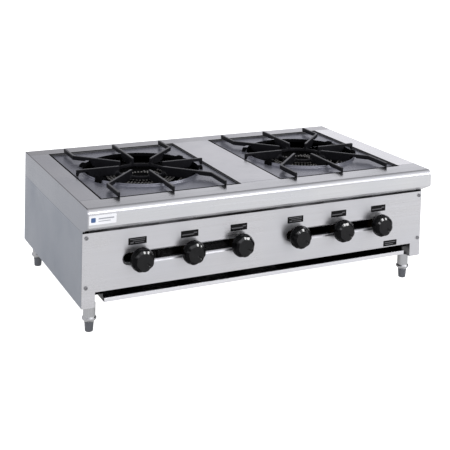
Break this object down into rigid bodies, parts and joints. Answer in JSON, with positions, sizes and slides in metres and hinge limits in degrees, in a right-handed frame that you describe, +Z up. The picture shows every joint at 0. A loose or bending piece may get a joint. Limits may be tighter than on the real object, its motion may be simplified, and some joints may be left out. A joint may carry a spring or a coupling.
{
  "type": "commercial gas range",
  "caption": "Low counter-top gas range with a bullnose front rail, large ring burners under lift-off cast grates, round control knobs, a pull-out drip tray and short adjustable legs.",
  "frame": {"origin": "centre of the bounding box in plan, at floor level (underside of the feet)", "axes": "+X to the right of the user facing the knobs, +Y to the back, +Z up"},
  "size_m": [0.914, 0.5508, 0.3105],
  "materials": {
    "panel_steel": "brushed stainless steel, horizontal grain",
    "rail_steel": "brushed stainless steel",
    "side_steel": "satin steel, slightly bluish",
    "plate_steel": "dark reflective steel sheet",
    "tray_steel": "bright sheet steel",
    "grate_iron": "black seasoned cast iron, fine sand texture",
    "burner_iron": "dark cast iron, drilled ports",
    "knob_plastic": "glossy black phenolic plastic",
    "valve_brass": "machined brass",
    "pilot_tube": "drawn aluminium tube",
    "gas_pipe": "black painted steel pipe",
    "leg_metal": "plated steel tube, satin",
    "foot_metal": "grey cast metal",
    "screw_steel": "plated steel",
    "label_film": "black printed film with plain bars instead of text",
    "blank_plate": "blank white film"
  },
  "bodies": {
    "root": {"burner_support_front": "side_steel", "burner_support_rear": "side_steel", "centre_top_rail": "rail_steel", "front_control_panel": "panel_steel", "front_rail": "rail_steel", "gas_inlet_pipe": "gas_pipe", "gas_manifold": "gas_pipe", "gas_valve_1": "valve_brass", "gas_valve_2": "valve_brass", "gas_valve_3": "valve_brass", "gas_valve_4": "valve_brass", "gas_valve_5": "valve_brass", "gas_valve_6": "valve_brass", "left_base_channel": "side_steel", "left_burner_inner": "burner_iron", "left_burner_middle": "burner_iron", "left_burner_outer": "burner_iron", "left_pilot": "pilot_tube", "left_side_panel": "side_steel", "left_top_rail": "rail_steel", "leg_front_left": "leg_metal", "leg_front_right": "leg_metal", "leg_rear_left": "leg_metal", "leg_rear_right": "leg_metal", "panel_screw_left_lower": "screw_steel", "panel_screw_left_upper": "screw_steel", "panel_screw_right_lower": "screw_steel", "panel_screw_right_upper": "screw_steel", "rear_panel": "side_steel", "rear_rail": "rail_steel", "right_base_channel": "side_steel", "right_burner_inner": "burner_iron", "right_burner_middle": "burner_iron", "right_burner_outer": "burner_iron", "right_pilot": "pilot_tube", "right_side_panel": "side_steel", "right_top_rail": "rail_steel"},
    "knob_1": {"knob_1": "knob_plastic", "valve_stem_1": "valve_brass"},
    "knob_2": {"knob_2": "knob_plastic", "valve_stem_2": "valve_brass"},
    "knob_3": {"knob_3": "knob_plastic", "valve_stem_3": "valve_brass"},
    "knob_4": {"knob_4": "knob_plastic", "valve_stem_4": "valve_brass"},
    "knob_5": {"knob_5": "knob_plastic", "valve_stem_5": "valve_brass"},
    "knob_6": {"knob_6": "knob_plastic", "valve_stem_6": "valve_brass"},
    "drip_tray": {"drip_tray": "tray_steel"},
    "left_plate": {"left_top_plate": "plate_steel"},
    "left_grate": {"left_grate": "grate_iron"},
    "right_plate": {"right_top_plate": "plate_steel"},
    "right_grate": {"right_grate": "grate_iron"},
    "foot_front_left": {"foot_front_left": "foot_metal"},
    "foot_front_right": {"foot_front_right": "foot_metal"},
    "foot_rear_left": {"foot_rear_left": "foot_metal"},
    "foot_rear_right": {"foot_rear_right": "foot_metal"}
  },
  "joints": [
    {"name": "knob_1_turn", "type": "hinge", "parent": "root", "child": "knob_1", "pos_m": [-0.3232, -0.25855, 0.1657], "axis": [0, -1, 0], "range_deg": [0, 90]},
    {"name": "knob_2_turn", "type": "hinge", "parent": "root", "child": "knob_2", "pos_m": [-0.1974, -0.25855, 0.1657], "axis": [0, -1, 0], "range_deg": [0, 90]},
    {"name": "knob_3_turn", "type": "hinge", "parent": "root", "child": "knob_3", "pos_m": [-0.0712, -0.25855, 0.1657], "axis": [0, -1, 0], "range_deg": [0, 90]},
    {"name": "knob_4_turn", "type": "hinge", "parent": "root", "child": "knob_4", "pos_m": [0.0844, -0.25855, 0.1657], "axis": [0, -1, 0], "range_deg": [0, 90]},
    {"name": "knob_5_turn", "type": "hinge", "parent": "root", "child": "knob_5", "pos_m": [0.2082, -0.25855, 0.1657], "axis": [0, -1, 0], "range_deg": [0, 90]},
    {"name": "knob_6_turn", "type": "hinge", "parent": "root", "child": "knob_6", "pos_m": [0.3218, -0.25855, 0.1657], "axis": [0, -1, 0], "range_deg": [0, 90]},
    {"name": "tray_pull", "type": "slide", "parent": "root", "child": "drip_tray", "axis": [0, -1, 0], "range_m": [0, 0.38]},
    {"name": "left_plate_lift", "type": "slide", "parent": "root", "child": "left_plate", "axis": [0, 0, 1], "range_m": [0, 0.12]},
    {"name": "left_grate_lift", "type": "slide", "parent": "left_plate", "child": "left_grate", "axis": [0, 0, 1], "range_m": [0, 0.15]},
    {"name": "right_plate_lift", "type": "slide", "parent": "root", "child": "right_plate", "axis": [0, 0, 1], "range_m": [0, 0.12]},
    {"name": "right_grate_lift", "type": "slide", "parent": "right_plate", "child": "right_grate", "axis": [0, 0, 1], "range_m": [0, 0.15]},
    {"name": "foot_front_left_adjust", "type": "slide", "parent": "root", "child": "foot_front_left", "axis": [0, 0, -1], "range_m": [0, 0.02]},
    {"name": "foot_front_right_adjust", "type": "slide", "parent": "root", "child": "foot_front_right", "axis": [0, 0, -1], "range_m": [0, 0.02]},
    {"name": "foot_rear_left_adjust", "type": "slide", "parent": "root", "child": "foot_rear_left", "axis": [0, 0, -1], "range_m": [0, 0.02]},
    {"name": "foot_rear_right_adjust", "type": "slide", "parent": "root", "child": "foot_rear_right", "axis": [0, 0, -1], "range_m": [0, 0.02]}
  ]
}
